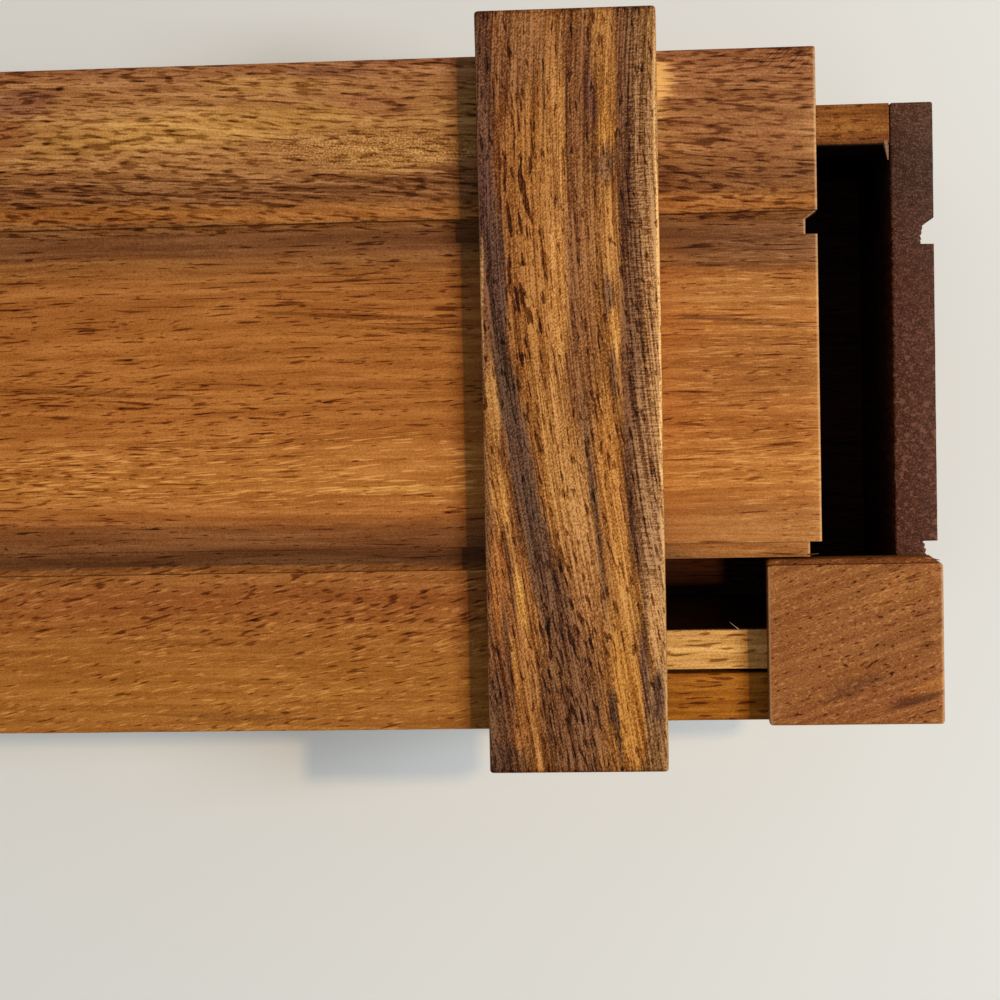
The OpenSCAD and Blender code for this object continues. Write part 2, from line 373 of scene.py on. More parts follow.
def upright_groove(s, q):
    """Depth of the upright grooves: square on the inner flank, slanted on the outer one, torn on the floor.

    The torn floor is deepest at the inner flank and rises and falls across the groove in a short wave.
    """
    off_middle = np.abs(q + PANEL_NEARER)
    floor_share = np.clip((panel_floor - off_middle) / (panel_floor - PANEL_IN), 0, 1)
    tear = ripple(s * TORN_UPRIGHT, q, TORN_SEED, TORN_WAVE) - 0.5
    torn = TORN * floor_share + TORN_ROUGH * np.sqrt(floor_share) * tear
    slant = GROOVE_DEEP * np.clip((PANEL_OUT - off_middle) / OUTER_LEDGE, 0, 1)
    return np.where(off_middle > PANEL_IN, slant + torn, 0.0)


panel_top = node_mm("right_end_panel")[1][2]
# Saw chips along the panel's inner arris: depth, height, and the wave and rows that carry them
CHIP = 0.32
CHIP_TALL = 0.8
CHIP_WAVE = 1.3
CHIP_ROW = 0.3
CHIP_SEED = 32


def panel_inside(s, q):
    """Depth of the bottom board's rabbet, and of saw chips along the top arris that vary in a short wave."""
    rabbet = np.where((s < bottom_top) & (np.abs(q) < bottom_high[1]), let_in, 0.0)
    near_top = np.clip(1 - (panel_top - s) / CHIP_TALL, 0, 1)
    return rabbet + CHIP * near_top * ripple(s * 0, q, CHIP_SEED, CHIP_WAVE)


groove_edges = np.array([PANEL_IN, panel_floor, PANEL_OUT])
panel_breaks = [*(-groove_edges - PANEL_NEARER), *(groove_edges - PANEL_NEARER),
                -bottom_high[1], bottom_high[1]]
torn_rows = np.arange(PANEL_IN + TORN_ROW, panel_floor - TORN_ROW / 2, TORN_ROW)
chip_rows = np.arange(-PANEL_IN, PANEL_IN, CHIP_ROW)
panel_rows = np.concatenate([-torn_rows, chip_rows, torn_rows]) - PANEL_NEARER
end_panel = board(
    "right_end_panel", "ZYX", "box", seed=21, breaks=panel_breaks, stops=[bottom_top],
    fine=panel_rows, top=upright_groove, under=panel_inside,
    painted_end_light=0.0, painted_edge_light=0.0,
)

# What the saw has left: a fibre on the near wall, splinters on the block, the lid and the far wall
wall_top = node_mm("near_side_wall")[1][2]
ledge_top = node_mm("corner_block")[1][2] - GROOVE_DEEP
plank_ledge = node_mm("centre_lid_plank")[1][2] - GROOVE_DEEP
wall_fibre = strand(
    "loose-fibre-of-near-wall",
    path=[(55.9, -32.9, wall_top - 0.15), (55.2, -32.3, wall_top + 0.1),
          (54.3, -31.6, wall_top - 0.3)],
    thick=0.16, body="box",
)
block_splinter = strand(
    "splinter-of-corner-block",
    path=[(80.0, -22.95, ledge_top - 0.1), (81.2, -22.95, ledge_top + 0.25),
          (82.2, -23.2, ledge_top + 0.3)],
    thick=0.34, body="box",
)
plank_splinter = strand(
    "splinter-of-centre-plank",
    path=[(64.6, -22.2, plank_ledge - 0.12), (65.4, -22.2, plank_ledge + 0.05),
          (66.2, -22.05, plank_ledge + 0.1)],
    thick=0.3, body="lid",
)
wall_splinter = strand(
    "splinter-of-far-wall",
    path=[(76.2, 32.9, wall_top - 0.35), (76.35, 31.8, wall_top - 0.1),
          (76.5, 30.4, wall_top - 0.2)],
    thick=0.9, body="box",
)


# Materials
def linear(code):
    """sRGB hex to linear RGBA."""
    part = np.array([int(code[i:i + 2], 16) for i in (1, 3, 5)]) / 255
    value = np.where(part <= 0.04045, part / 12.92, ((part + 0.055) / 1.055) ** 2.4)
    return (*value.tolist(), 1.0)


def add(tree, kind, links=None, **settings):
    """Adds a node, sets its properties, and joins or fills its sockets by name or number.

    A whole node among the links is joined by its first output.
    """
    node = tree.nodes.new(kind)
    for key, value in settings.items():
        setattr(node, key, value)
    for key, value in (links or {}).items():
        if isinstance(value, bpy.types.Node):
            value = value.outputs[0]
        if isinstance(value, bpy.types.NodeSocket):
            tree.links.new(value, node.inputs[key])
        else:
            node.inputs[key].default_value = value
    return node


GRAIN_X = (0, 0, 0)
GRAIN_Y = (0, 0, math.pi / 2)
GRAIN_Z = (0, math.pi / 2, 0)
MIX_FACTOR, MIX_A, MIX_B, MIX_OUT = 0, 6, 7, 2

# Cells of the slow drift and of the streaks that move the grain, along it, across it and into it
DRIFT_CELL = (42, 11, 11)
STREAK_CELL = (24, 1.2, 1.2)
FRAY_ALONG = 5
# Steps between the noises of two woods and of two layers
WOOD_STEP = np.array([37.0, 53.0, 29.0])
LAYER_STEP = 17
# Middle of a noise, which runs from 0 to 1
MID_NOISE = 0.5
# An oval is full inside the first share of its half sizes, gone at the second, and runs deep into the wood
OVAL_FULL = 0.55
OVAL_GONE = 1.3
OVAL_DEEP = 1e4
# Faces more level than these take the painted highlight, from not at all to fully
LEVEL_FROM = 0.2
LEVEL_FULL = 0.6
# How much painted highlight and shade lighten or darken the wood, and from where the highlight turns pale
PAINTED_LIGHT_STRENGTH = -0.3
HIGHLIGHT_FROM = 0.5
HIGHLIGHT_MOST = 0.6
# How a mark deepens and dims the wood's colour, and the limits of both
LIGHTEST = -0.6
DEEPENS = 0.45
LEAST_POWER = 0.8
DIMS = -0.6
LEAST_SHADE = 0.12
# A face turned this far to the grain shows sawn ends
END_FROM = 0.9
# Dull oiled sheen, and the depth of an open pore
LEAST_ROUGH = 0.38
MOST_ROUGH = 0.56
SHEEN = 0.07
RELIEF = 0.4
PORE_DEEP = 0.04


def oiled_hardwood(name, seed, turn, bands, patches=(), layers=(), centre=(0, 0, 0), bow=None,
                   wander=1.0, fray=1.0, end_colour="#6a4228", end_share=0.5, highlight_colour="#e0b98a"):
    """Oiled open-grained hardwood, in the board's own millimetres along the grain, across it and into it.

    bands are colours at places across the grain and patches are soft leaning ovals of colour, both with
    edges that wander and fray along the grain. layers are (length, width, from, to, strength, lean, crowd,
    oval): marks of one size, made of noise between two levels, that darken the wood by raising its colour
    to a power and dimming it, or lighten it where strength is negative. crowd gathers them in clusters and
    oval keeps them in one place. bow is the start, length and height of a wave in the run of the grain.
    The highlight colour is painted on the arrises where the painted highlight is highest, and faces that
    stand upright don't take it.
    """
    material = bpy.data.materials.new(name)
    material.use_nodes = True
    tree = material.node_tree
    shader = tree.nodes["Principled BSDF"]
    place = add(tree, "ShaderNodeTexCoord")
    to_board = Euler(turn).to_matrix()
    shift = WOOD_STEP * seed
    plain = add(tree, "ShaderNodeMapping",
                {"Vector": place.outputs["Object"], "Rotation": turn, "Scale": (1 / MM,) * 3,
                 "Location": -(to_board @ Vector(centre))})

    def speckle(vector, step, size, lean=0.0, detail=0.0, roughness=0.5):
        """Noise in cells of one size in millimetres, along a run that leans off the vector's."""
        cells = add(tree, "ShaderNodeMapping",
                    {"Vector": vector, "Location": shift + step, "Rotation": (0, 0, lean), "Scale": size},
                    vector_type="TEXTURE")
        return add(tree, "ShaderNodeTexNoise",
                   {"Vector": cells, "Scale": 1.0, "Detail": detail, "Roughness": roughness})

    def swung(vector, noise, reach):
        """The vector moved to either side by a noise, as far as reach."""
        swing = add(tree, "ShaderNodeVectorMath",
                    {0: noise.outputs["Color"], 1: 2 * np.array(reach), 2: -np.array(reach)},
                    operation="MULTIPLY_ADD")
        return add(tree, "ShaderNodeVectorMath", {0: vector, 1: swing})

    def within(where, half, lean):
        """1 inside a leaning oval and 0 outside it, over a soft edge that frays."""
        oval = add(tree, "ShaderNodeMapping",
                   {"Vector": frayed, "Location": (*where, 0), "Rotation": (0, 0, math.atan(lean)),
                    "Scale": (*half, OVAL_DEEP)}, vector_type="TEXTURE")
        far = add(tree, "ShaderNodeVectorMath", {0: oval}, operation="LENGTH").outputs["Value"]
        return add(tree, "ShaderNodeMapRange", {"Value": far, "From Min": OVAL_GONE, "From Max": OVAL_FULL},
                   interpolation_type="SMOOTHSTEP")

    drift = speckle(plain, 0, DRIFT_CELL, detail=1.0)
    loose = swung(plain, drift, (0, wander, wander))
    streak = speckle(loose, 0, STREAK_CELL, detail=3.0, roughness=0.6)
    frayed = swung(loose, streak, (FRAY_ALONG, fray, fray))
    grain = loose
    if bow:
        start, length, height = bow
        pace = 2 * math.pi / length
        along = add(tree, "ShaderNodeSeparateXYZ", {0: loose}).outputs["X"]
        angle = add(tree, "ShaderNodeMath", {0: along, 1: pace, 2: -start * pace}, operation="MULTIPLY_ADD")
        wave = add(tree, "ShaderNodeMath", {0: angle}, operation="COSINE")
        grain = add(tree, "ShaderNodeVectorMath", {0: wave, 1: (0, height, 0), 2: loose},
                    operation="MULTIPLY_ADD")

    first, last = bands[0][0], bands[-1][0]
    across = add(tree, "ShaderNodeSeparateXYZ", {0: frayed}).outputs["Y"]
    reach = add(tree, "ShaderNodeMapRange", {"Value": across, "From Min": first, "From Max": last})
    ramp = add(tree, "ShaderNodeValToRGB", {0: reach})
    stops = ramp.color_ramp.elements
    while len(stops) < len(bands):
        stops.new(0.5)
    for stop, (where, colour) in zip(stops, bands):
        stop.position = (where - first) / (last - first)
        stop.color = linear(colour)
    colour = ramp.outputs[0]
    for where, half, lean, paint, strength in patches:
        share = add(tree, "ShaderNodeMath", {0: within(where, half, lean), 1: strength},
                    operation="MULTIPLY")
        colour = add(tree, "ShaderNodeMix", {MIX_FACTOR: share, MIX_A: colour, MIX_B: linear(paint)},
                     data_type="RGBA").outputs[MIX_OUT]

    painted_light = add(tree, "ShaderNodeAttribute", attribute_name="painted_light").outputs["Fac"]
    rise = add(tree, "ShaderNodeSeparateXYZ", {0: place.outputs["Normal"]}).outputs["Z"]
    level = add(tree, "ShaderNodeMath", {0: rise}, operation="ABSOLUTE")
    level_share = add(tree, "ShaderNodeMapRange",
                  {"Value": level, "From Min": LEVEL_FROM, "From Max": LEVEL_FULL})
    # Painted shade where the values are below 0, and painted highlight where above, the highlight only on
    # level faces
    painted_shade = add(tree, "ShaderNodeMath", {0: painted_light, 1: 0.0}, operation="MINIMUM")
    worn = add(tree, "ShaderNodeMath", {0: painted_light, 1: 0.0}, operation="MAXIMUM")
    worn = add(tree, "ShaderNodeMath", {0: worn, 1: level_share}, operation="MULTIPLY")
    dark = add(tree, "ShaderNodeMath", {0: painted_shade, 1: PAINTED_LIGHT_STRENGTH}, operation="MULTIPLY")
    dark = add(tree, "ShaderNodeMath", {0: worn, 1: PAINTED_LIGHT_STRENGTH, 2: dark}, operation="MULTIPLY_ADD")
    for number, (length, width, low, high, strength, lean, crowd, oval) in enumerate(layers):
        noise = speckle(grain, LAYER_STEP * number, (length, width, width), math.radians(lean))
        ridge = add(tree, "ShaderNodeMath", {0: drift, 1: crowd, 2: noise}, operation="MULTIPLY_ADD")
        mark = add(tree, "ShaderNodeMapRange",
                   {"Value": ridge, "From Min": low + crowd / 2, "From Max": high + crowd / 2},
                   interpolation_type="SMOOTHSTEP")
        if low < MID_NOISE < high:
            mark = add(tree, "ShaderNodeMath", {0: mark, 1: MID_NOISE}, operation="SUBTRACT")
        if oval:
            mark = add(tree, "ShaderNodeMath", {0: mark, 1: within(*oval)}, operation="MULTIPLY")
        dark = add(tree, "ShaderNodeMath", {0: mark, 1: strength, 2: dark}, operation="MULTIPLY_ADD")
    dark = add(tree, "ShaderNodeMath", {0: dark, 1: LIGHTEST}, operation="MAXIMUM")
    power = add(tree, "ShaderNodeMath", {0: dark, 1: DEEPENS, 2: 1.0}, operation="MULTIPLY_ADD")
    power = add(tree, "ShaderNodeMath", {0: power, 1: LEAST_POWER}, operation="MAXIMUM")
    colour = add(tree, "ShaderNodeGamma", {"Color": colour, "Gamma": power})
    shade = add(tree, "ShaderNodeMath", {0: dark, 1: DIMS, 2: 1.0}, operation="MULTIPLY_ADD")
    shade = add(tree, "ShaderNodeMath", {0: shade, 1: LEAST_SHADE}, operation="MAXIMUM")
    colour = add(tree, "ShaderNodeVectorMath", {0: colour, 1: shade}, operation="MULTIPLY")
    # Arrises with the most painted highlight turn toward the pale highlight colour
    pale = add(tree, "ShaderNodeMapRange", {"Value": worn, "From Min": HIGHLIGHT_FROM, "To Max": HIGHLIGHT_MOST})
    colour = add(tree, "ShaderNodeMix", {MIX_FACTOR: pale, MIX_A: colour, MIX_B: linear(highlight_colour)},
                 data_type="RGBA").outputs[MIX_OUT]

    axis = to_board.transposed() @ Vector((1, 0, 0))
    facing = add(tree, "ShaderNodeVectorMath", {0: place.outputs["Normal"], 1: axis},
                 operation="DOT_PRODUCT").outputs["Value"]
    ending = add(tree, "ShaderNodeMath", {0: facing}, operation="ABSOLUTE")
    sawn = add(tree, "ShaderNodeMapRange",
               {"Value": ending, "From Min": END_FROM, "From Max": 1.0, "To Max": end_share})
    colour = add(tree, "ShaderNodeMix", {MIX_FACTOR: sawn, MIX_A: colour, MIX_B: linear(end_colour)},
                 data_type="RGBA").outputs[MIX_OUT]

    rough = add(tree, "ShaderNodeMapRange", {"Value": streak, "To Min": LEAST_ROUGH, "To Max": MOST_ROUGH})
    relief = add(tree, "ShaderNodeBump", {"Height": dark, "Strength": RELIEF, "Distance": PORE_DEEP * MM},
                 invert=True)
    tree.links.new(colour, shader.inputs["Base Color"])
    tree.links.new(rough.outputs[0], shader.inputs["Roughness"])
    tree.links.new(relief.outputs[0], shader.inputs["Normal"])
    shader.inputs["Specular IOR Level"].default_value = SHEEN
    return material


# Levels of noise between which a mark comes up: soft lines, pores and firm dashes
LINE_FROM, LINE_FULL = 0.3, 0.7
PORE_FROM, PORE_FULL = 0.69, 0.84
DASH_FROM, DASH_FULL = 0.68, 0.76
DASH_CROWD = 0.05


def marks(length, width, low, high, strength, lean=0, crowd=0, oval=None):
    """One layer of marks, which lightens as much as it darkens if low and high lie round mid noise."""
    return (length, width, low, high, strength, lean, crowd, oval)


def lines(length, width, strength, lean=0, oval=None):
    """Lines of lighter and darker wood."""
    return marks(length, width, LINE_FROM, LINE_FULL, strength, lean, oval=oval)


def streaks(strength):
    """Long soft streaks of lighter and darker wood."""
    return lines(26, 0.9, strength)


def threads(strength):
    """Silky fibre, drawn twice as coarse as real so that it shows."""
    return lines(5, 0.25, strength)


def stipple(strength, oval=None):
    """Fine dots of light and dark where the fibre comes up to the surface."""
    return lines(0.24, 0.19, strength, oval=oval)


def pores(length, width, share, strength, lean=0, crowd=0.2, oval=None):
    """Open pores as dark dashes; a smaller share leaves fewer of them."""
    return marks(length, width, PORE_FROM - share, PORE_FULL - share, strength, lean, crowd, oval)


def dashes(length, width, share, strength, lean, oval=None):
    """Pores that stand apart with firm edges."""
    return marks(length, width, DASH_FROM - share, DASH_FULL - share, strength, lean, DASH_CROWD, oval)


def clear(strength, oval):
    """An oval of evenly paler wood: its levels lie below all noise."""
    return marks(1, 1, -2, -1, -strength, oval=oval)


# Far plank: a gold streak through dashed brown wood, with a dark band before the orange edge
golden = oiled_hardwood(
    "golden oiled hardwood", seed=1, turn=GRAIN_X,
    # The bands darken over the groove floor at the near edge: darker wood and painted shade of the groove
    bands=[(22.4, "#7a4c28"), (23.6, "#845226"), (24.4, "#9c602a"), (25.6, "#9e642e"), (26.6, "#7a4a24"),
           (28.5, "#7c4d28"), (30.6, "#956234"), (32.5, "#a8733f"), (36, "#ae7a42"), (41, "#a5703f"),
           (45, "#a06a42")],
    patches=[((-15, 36.3), (24, 2.0), 0.082, "#c4914c", 0.75),
             ((9.7, 32.2), (9, 2.6), -0.05, "#b88546", 0.6),
             ((-7, 42), (9, 1.4), 0, "#bf8b4c", 0.6), ((-40, 40), (5, 2.2), 0, "#7c4a38", 0.6),
             ((-44, 36), (5, 3), 0, "#94592f", 0.7), ((2.5, 43.3), (5, 0.8), 0, "#784a3a", 0.5),
             ((8, 39), (6, 1.4), -0.1, "#94583a", 0.5), ((58, 38), (14, 9), 0, "#905a36", 0.7),
             ((43, 40.4), (4.0, 6.6), 0, "#be8a44", 0.95)],
    layers=[streaks(0.3), threads(0.25), stipple(0.25), stipple(0.6, ((8, 33), (16, 3), -0.05)),
            lines(20, 0.3, 0.5, oval=((-10, 28.5), (60, 2.4), 0)),
            pores(2.8, 0.42, 0.115, 0.68, 0, 0.1), pores(1.9, 0.34, 0.095, 0.6, 2, 0.15),
            marks(1.8, 0.16, 0.5, 0.66, 0.5, lean=45, oval=((63, 43), (4, 2.2), 0)),
            clear(0.75, ((43, 40.4), (4.0, 6.6), 0))],
    bow=(-60, 300, -4), wander=1.6,
)
# Centre plank: plain warm orange with sparse fine pores, a few long dark lines and gold flecks
orange = oiled_hardwood(
    "orange oiled hardwood", seed=2, turn=GRAIN_X,
    # The bands darken over both groove floors at the edges: darker wood and painted shade of the grooves
    bands=[(-22.4, "#5c381c"), (-20.3, "#6f4220"), (-17.5, "#845028"), (-15.5, "#a0602a"),
           (-12, "#b07030"), (-4, "#a5642a"), (8, "#a4642a"), (15, "#a0622c"), (18, "#915a29"),
           (20.3, "#764826"), (22.4, "#7a4c28")],
    patches=[((10, -12.4), (9, 0.3), 0.01, "#cc9446", 0.6), ((-12, -10.6), (9, 0.25), 0, "#c88d40", 0.6),
             ((4, 10.6), (15, 0.3), -0.03, "#7a4314", 0.9), ((14, 8.6), (9, 0.35), -0.08, "#7a4314", 0.9),
             ((-30, 1), (16, 0.35), -0.03, "#7a4314", 0.85), ((58, -19), (16, 4), 0, "#a86c34", 0.85),
             ((58, 18.4), (14, 2.6), 0, "#6f4526", 0.8), ((58, 13), (14, 2.2), 0, "#b0763a", 0.6),
             ((55, 9.2), (8, 0.35), -0.04, "#70401a", 0.85), ((61, 8.2), (6, 0.3), -0.05, "#70401a", 0.8),
             ((58, 3), (14, 5), 0, "#98602d", 0.5)],
    layers=[streaks(0.25), threads(0.15), stipple(0.2), pores(5.5, 0.34, 0.025, 0.8, 0, 0.25),
            pores(2.4, 0.3, 0.03, 0.8, 6, 0.3, ((-20, -2), (70, 9), 0)),
            pores(1.6, 0.26, 0.015, 0.72, 3, 0.2),
            marks(3.4, 0.22, 0.58, 0.7, -0.65, lean=3, crowd=0.25, oval=((0, -9.5), (60, 5), 0)),
            marks(2.4, 0.22, 0.57, 0.74, -0.4, crowd=0.2, oval=((58, 0), (12, 24), 0))],
    wander=1.3,
)
# Near plank: even caramel with small slanting pores and light flecks
caramel = oiled_hardwood(
    "caramel oiled hardwood", seed=3, turn=GRAIN_X,
    # The bands darken over the groove floor at the far edge: darker wood and painted shade of the groove
    bands=[(-45, "#995e24"), (-38, "#a16527"), (-32, "#9a5e26"), (-27, "#935525"), (-23.5, "#955c29"),
           (-22.4, "#6a3f1e")],
    patches=[((-12, -43), (16, 0.3), -0.03, "#7d4a1c", 0.7)],
    layers=[streaks(0.2), threads(0.15), stipple(0.2),
            pores(2.1, 0.36, 0.06, 0.78, 12, 0.05, ((-20, -27.5), (90, 6), 0)),
            pores(2, 0.32, 0.025, 0.72, 10, 0.1),
            marks(2.2, 0.24, 0.62, 0.76, -0.4, lean=12, crowd=0.1)],
    wander=1.2,
)
# Crossbars: dark streaked heartwood, a purple band leaning across gold and brown, fine dots and cross lines
# Pale colour of the painted highlight on the crossbars' arrises
BAR_HIGHLIGHT = "#cf9f68"
BAR_BANDS = [(-11.8, "#663d20"), (-9.6, "#754420"), (-8, "#885224"), (-5, "#98602a"), (-2.6, "#98602a"),
             (0.5, "#80502b"), (3, "#88562a"), (5.5, "#9a632a"), (7, "#724422"), (9, "#77502f"),
             (10.6, "#926638"), (11.8, "#ad7e48")]
BAR_PATCHES = [
    # The brown far end, the dark left edge and the purple band that leaves it
    ((-46, -6.5), (9, 4.5), 0, "#774a29", 0.75), ((-38, -10.9), (16, 1.4), 0, "#573624", 0.8),
    ((-24, -11), (9, 1.3), 0, "#482a20", 0.9), ((-14, -9.6), (13, 1.5), 0.03, "#4a2f22", 0.95),
    ((-1, -8.6), (8, 1.6), 0.15, "#48301f", 0.95), ((9, -6.9), (9, 1.8), 0.16, "#4d3223", 0.95),
    ((20, -4.8), (9, 2.2), 0.2, "#503524", 0.95), ((28, -2.8), (8, 2.6), 0.2, "#5c3a24", 0.9),
    ((42, -1.2), (12, 4.4), 0.1, "#653f24", 0.85), ((-12, -11.5), (9, 0.22), 0, "#ae7f4f", 0.7),
    # Gold, orange and dark streaks left of the band
    ((3, -10.5), (6, 1.0), 0, "#b0783a", 0.75), ((14, -9.7), (6, 1.2), 0.1, "#b97d3a", 0.8),
    ((25, -10.2), (8, 1.2), 0, "#9a5c28", 0.8), ((28, -7.2), (6, 0.5), 0.1, "#bf853c", 0.8),
    ((35, -8.2), (5, 0.5), 0.1, "#af7332", 0.7), ((45, -5.2), (7, 0.45), 0.06, "#ab7337", 0.75),
    ((22, -8.8), (7, 0.3), 0.14, "#5d3920", 0.8), ((36, -9.0), (9, 0.4), 0.08, "#54321e", 0.8),
    ((44, -10.6), (8, 1.6), 0, "#563620", 0.85), ((49, -9), (3, 3), 0, "#3c2618", 0.7),
    # Gold and dark streaks down the middle
    ((-33, -0.7), (10, 0.9), 0.02, "#c28748", 0.85), ((-14, -1.4), (11, 1.2), 0, "#c98c48", 0.85),
    ((-36, 0.1), (12, 0.22), 0, "#5d3921", 0.8), ((-42, -2.6), (9, 0.25), 0, "#613c20", 0.7),
    ((-12, 0.6), (10, 0.5), 0.03, "#724524", 0.75), ((-40, 2.6), (10, 1.4), 0, "#714525", 0.8),
    ((-38.5, 3.2), (3.5, 0.9), 0, "#5e3828", 0.8), ((10, -1.2), (14, 3), 0.16, "#b27a3d", 0.75),
    ((24, 1.2), (10, 1.8), 0.16, "#a7703b", 0.7), ((9, 2.2), (11, 0.45), 0.09, "#593b24", 0.85),
    ((22, 3.3), (8, 0.35), 0.1, "#5d3d24", 0.8),
    # Gold right of the middle, broken by dark patches
    ((-42, 5.4), (7.5, 1.3), 0, "#a16a32", 0.8), ((-33.5, 5.2), (3, 1.2), 0, "#b57a37", 0.85),
    ((-29.5, 5), (2.4, 1.8), 0, "#6e4a2f", 0.8), ((-20, 5.4), (6, 1.1), 0, "#aa7136", 0.85),
    ((-13, 5), (3, 0.8), 0.03, "#613f28", 0.8), ((-8, 5.8), (3, 0.7), 0, "#bf833e", 0.8),
    ((-2, 5.4), (4, 0.5), 0.02, "#613f28", 0.8), ((12, 5), (13, 1.7), 0.08, "#af7232", 0.8),
    ((25, 7.0), (9, 1.7), 0.1, "#b57a38", 0.8), ((41, 7.0), (11, 2.0), 0.09, "#aa6e29", 0.9),
    ((15, 7.6), (10, 0.3), 0.09, "#523320", 0.8), ((43, 5), (7, 0.5), 0.13, "#483020", 0.85),
    # The strip with cross lines, and a thin pale painted highlight along its right edge
    ((-15, 7.6), (34, 1.1), 0, "#5d3922", 0.8), ((-30, 10), (16, 1.3), 0, "#92663e", 0.7),
    ((-5, 10.4), (20, 1.1), 0, "#a57343", 0.75), ((-8, 11.5), (30, 0.25), 0, "#d8a25f", 0.85),
    ((14, 9.8), (14, 1.6), 0.06, "#936740", 0.8), ((31, 10.4), (6, 0.9), 0, "#b57f48", 0.75),
    ((37, 8.9), (7, 0.5), 0.05, "#5b392d", 0.8), ((41, 10.6), (5, 0.8), 0, "#503225", 0.85),
    ((47, 10.6), (4, 0.8), 0, "#724b28", 0.7),
]
BAR_LAYERS = [
    streaks(0.4), lines(14, 0.3, 0.45), marks(9, 0.17, 0.35, 0.65, 0.35),
    stipple(0.5), lines(0.4, 0.18, 0.45, lean=-40),
    dashes(2.8, 0.56, 0.07, 1.1, 4, ((-17, -5.8), (26, 3.0), 0.02)),
    dashes(2.2, 0.42, 0.075, 0.85, 4, ((38, -1), (18, 5), 0.12)), dashes(2.0, 0.4, 0.02, 0.8, 3),
    lines(0.2, 1.5, 0.65, oval=((-8, 9.4), (44, 2.4), 0.01)),
    lines(16, 0.34, 0.7, oval=((-8, 9.4), (50, 2.4), 0.01)),
]


def middle_of(node):
    """Middle of a CAD node, in millimetres."""
    low, high = node_mm(node)
    return (low + high) / 2


dark_bar = oiled_hardwood(
    "dark streaked hardwood", seed=4, turn=GRAIN_Y, bands=BAR_BANDS, patches=BAR_PATCHES,
    layers=BAR_LAYERS, centre=middle_of("right_crossbar"), bow=(-30, 240, 6), wander=0.4, fray=0.5,
    highlight_colour=BAR_HIGHLIGHT,
)
other_bar = oiled_hardwood(
    "dark streaked hardwood of the left bar", seed=14, turn=(0, 0, -math.pi / 2), bands=BAR_BANDS,
    patches=BAR_PATCHES[::3], layers=BAR_LAYERS, centre=middle_of("left_crossbar"), wander=0.8, fray=0.8,
    highlight_colour=BAR_HIGHLIGHT,
)
# Corner block: smooth tan-brown with pin-prick pores and one darker curl at its lower right
red_block = oiled_hardwood(
    "red-brown oiled hardwood", seed=5, turn=(0, 0, math.radians(-18)), centre=middle_of("corner_block"),
    bands=[(-15, "#8e5628"), (-8, "#875027"), (-3, "#8b5529"), (3, "#895328"), (9, "#8d5629"),
           (15, "#855026")],
    patches=[((5.6, -9.7), (4.0, 0.9), -0.05, "#5e3219", 0.9),
             ((-2.5, -5.4), (5.5, 0.8), 0.07, "#66391c", 0.8),
             ((9, -8.5), (4, 1.0), 0, "#a86830", 0.6), ((8, 4.5), (5, 3), 0, "#9c622e", 0.6)],
    layers=[streaks(0.2), threads(0.12), stipple(0.3), pores(0.9, 0.32, 0.015, 0.95, 0, 0.05),
            marks(2.2, 0.3, 0.6, 0.74, 0.5, lean=-6, crowd=0.1, oval=((9, 3), (4, 7), 0)),
            marks(0.7, 0.26, 0.64, 0.76, -0.38, crowd=0.05)],
    wander=0.8, fray=0.5,
)
# End panels: dark purple-brown, dotted where the upright grain comes through the top
end_wood = oiled_hardwood(
    "purple-brown end grain", seed=6, turn=GRAIN_Z,
    bands=[(-38, "#502c1c"), (-10, "#4e2a1b"), (14, "#4c2a1b"), (24, "#472a1d"), (27, "#3f271c"),
           (31, "#40281c"), (34, "#4c2f1f"), (38, "#4e311f")],
    layers=[streaks(0.25), stipple(0.4), marks(2.0, 0.3, 0.58, 0.72, -0.6, crowd=0.15),
            marks(2.0, 0.6, 0.63, 0.72, -0.9, crowd=0.1, oval=((60, -8), (70, 15), 0)),
            marks(2.0, 0.24, 0.6, 0.76, 0.6, crowd=0.15)],
    end_colour="#41251b", end_share=0.2,
)
# Near wall: pale gold with brown dashes on top, and near-black painted shade on its inner face
pale_wall = oiled_hardwood(
    "pale golden hardwood", seed=7, turn=GRAIN_X,
    bands=[(-38, "#c48f4a"), (-35, "#ce9951"), (-32.75, "#be8946"), (-32.6, "#2c160a")],
    layers=[streaks(0.3), threads(0.25), stipple(0.3), pores(2.6, 0.55, 0.1, 0.85, 4)],
    wander=0.04, fray=0.03,
)
# Far wall: mid brown on top, and near-black painted shade on its inner face
brown_wall = oiled_hardwood(
    "light brown hardwood", seed=8, turn=GRAIN_X,
    bands=[(32.6, "#24120a"), (32.75, "#734015"), (35, "#7f4a19"), (38, "#734015")],
    layers=[streaks(0.3), threads(0.25), stipple(0.3), pores(1.8, 0.45, 0.05, 0.68)],
    wander=0.04, fray=0.03,
)
# Skirt rails: deep orange-brown, close to the near plank
rail_finish = oiled_hardwood(
    "orange-brown rail hardwood", seed=9, turn=GRAIN_X,
    bands=[(-45, "#8f520f"), (-42, "#8b4e0d"), (-38.5, "#975914"), (38.5, "#975914"), (45, "#8f520f")],
    layers=[streaks(0.3), threads(0.2), stipple(0.2), pores(2.8, 0.36, 0.06, 0.8)],
)
# Bottom board: dark red-brown, barely lit inside the box
bottom_finish = oiled_hardwood(
    "dark bottom hardwood", seed=10, turn=GRAIN_X,
    bands=[(-36, "#4a2514"), (0, "#542b16"), (36, "#472412")],
    layers=[streaks(0.25), threads(0.2), pores(2.6, 0.4, 0.08, 0.8)],
)
# Runners: plain unstained wood, seen only in the slots
runner_finish = oiled_hardwood(
    "plain runner hardwood", seed=11, turn=GRAIN_X,
    bands=[(-41, "#b9874c"), (0, "#b38045"), (41, "#b9874c")],
    layers=[streaks(0.3), threads(0.2), pores(2.6, 0.4, 0.06, 0.6)],
)
